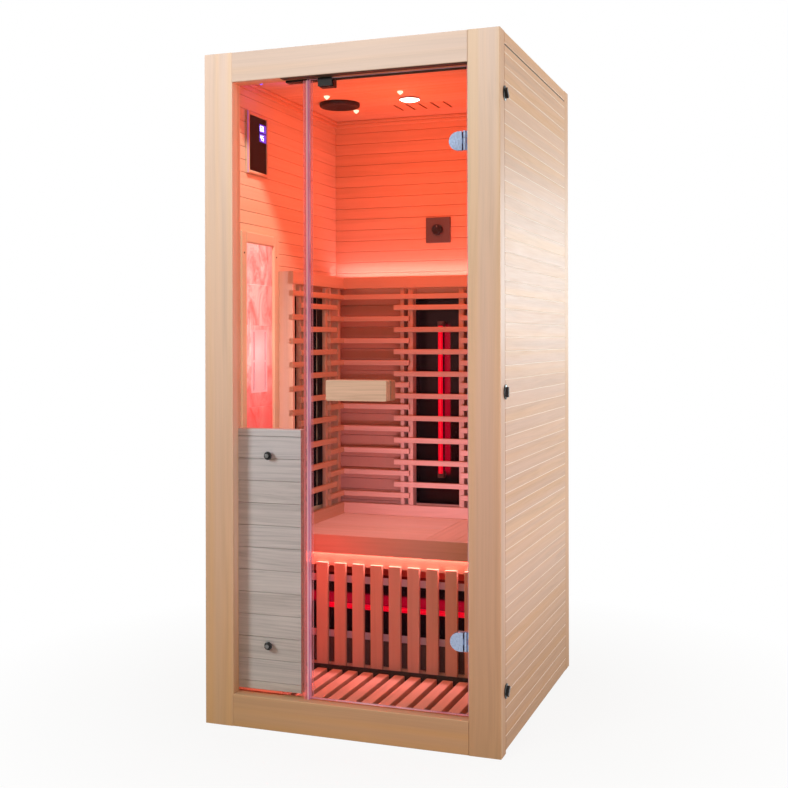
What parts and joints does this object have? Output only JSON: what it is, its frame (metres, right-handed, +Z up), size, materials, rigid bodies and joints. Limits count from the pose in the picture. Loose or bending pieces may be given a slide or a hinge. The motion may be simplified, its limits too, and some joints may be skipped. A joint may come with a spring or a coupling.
{
  "type": "infrared sauna cabin",
  "caption": "Upright wooden cabin for one sitter with a hinged glass door, boarded walls, slatted bench and backrests, infrared heaters, ceiling lamp and speaker.",
  "frame": {"origin": "middle of the underside of the floor panel, on the ground", "axes": "+Z up, +X to the right as seen from the front, +Y from the glass front to the back wall"},
  "size_m": [0.8856, 0.8913, 1.9],
  "materials": {
    "hemlock": "pale planed hemlock, clear matt oil",
    "warm_hemlock": "planed hemlock, untreated, lit warm from inside",
    "grey_hemlock": "planed hemlock boards seen through glass",
    "clear_glass": "clear toughened glass, polished edges",
    "clear_vinyl": "clear soft vinyl strip",
    "chrome": "polished chrome",
    "dark_steel": "dark burnished steel",
    "black_plastic": "fine satin black moulding",
    "carbon_heater": "black heat-resistant coating, slightly glossy",
    "red_tube": "ruby red quartz tube, glowing",
    "salt": "pink rock salt, back-lit",
    "dark_screen": "dark glass touch panel",
    "lamp_white": "white diffuser, lit",
    "grey_steel": "grey powder coat"
  },
  "bodies": {
    "cabin": {"floor_panel": "hemlock", "back_wall_panel": "hemlock", "left_wall_panel": "hemlock", "right_wall_panel": "hemlock", "roof_panel": "hemlock", "front_left_stile": "hemlock", "front_right_stile": "hemlock", "front_top_rail": "hemlock", "front_bottom_rail": "hemlock", "salt_frame": "hemlock", "control_frame": "hemlock", "floor_grille": "warm_hemlock", "back_wall_lining": "warm_hemlock", "left_wall_lining": "warm_hemlock", "right_wall_lining": "warm_hemlock", "ceiling_panel": "warm_hemlock", "bench_seat": "warm_hemlock", "bench_grille": "warm_hemlock", "bench_cleat_left": "warm_hemlock", "bench_cleat_right": "warm_hemlock", "back_backrest": "warm_hemlock", "left_backrest": "warm_hemlock", "right_backrest": "warm_hemlock", "leg_panel": "grey_hemlock", "fixed_glass": "clear_glass", "glass_seal": "clear_vinyl", "hinge_bracket_upper": "chrome", "hinge_bracket_lower": "chrome", "hinge_pin_upper": "chrome", "hinge_pin_lower": "chrome", "leg_panel_bolt_upper": "dark_steel", "leg_panel_bolt_lower": "dark_steel", "tie_bolt_right_upper": "dark_steel", "tie_bolt_right_middle": "dark_steel", "tie_bolt_right_lower": "dark_steel", "tie_bolt_left_upper": "dark_steel", "tie_bolt_left_middle": "dark_steel", "tie_bolt_left_lower": "dark_steel", "door_catch": "black_plastic", "dimmer_plate": "black_plastic", "speaker": "black_plastic", "back_heater": "carbon_heater", "left_heater": "carbon_heater", "right_heater": "carbon_heater", "calf_heater": "carbon_heater", "back_heater_tube": "red_tube", "calf_heater_tube": "red_tube", "salt_bricks": "salt", "control_screen": "dark_screen", "ceiling_lamp": "lamp_white", "back_light_strip": "lamp_white", "bench_light_strip": "lamp_white", "power_box": "grey_steel"},
    "door": {"door_glass": "clear_glass", "door_strike": "dark_steel", "door_handle_outer": "hemlock", "door_handle_inner": "hemlock", "hinge_clamp_upper": "chrome", "hinge_clamp_lower": "chrome"},
    "dimmer": {"dimmer_knob": "black_plastic"}
  },
  "joints": [
    {"name": "door_hinge", "type": "hinge", "parent": "cabin", "child": "door", "pos_m": [0.33, -0.413, 0], "axis": [0, 0, 1], "range_deg": [0, 95]},
    {"name": "dimmer_turn", "type": "hinge", "parent": "cabin", "child": "dimmer", "pos_m": [0, 0.37, 1.461], "axis": [0, -1, 0], "range_deg": [0, 270]}
  ]
}
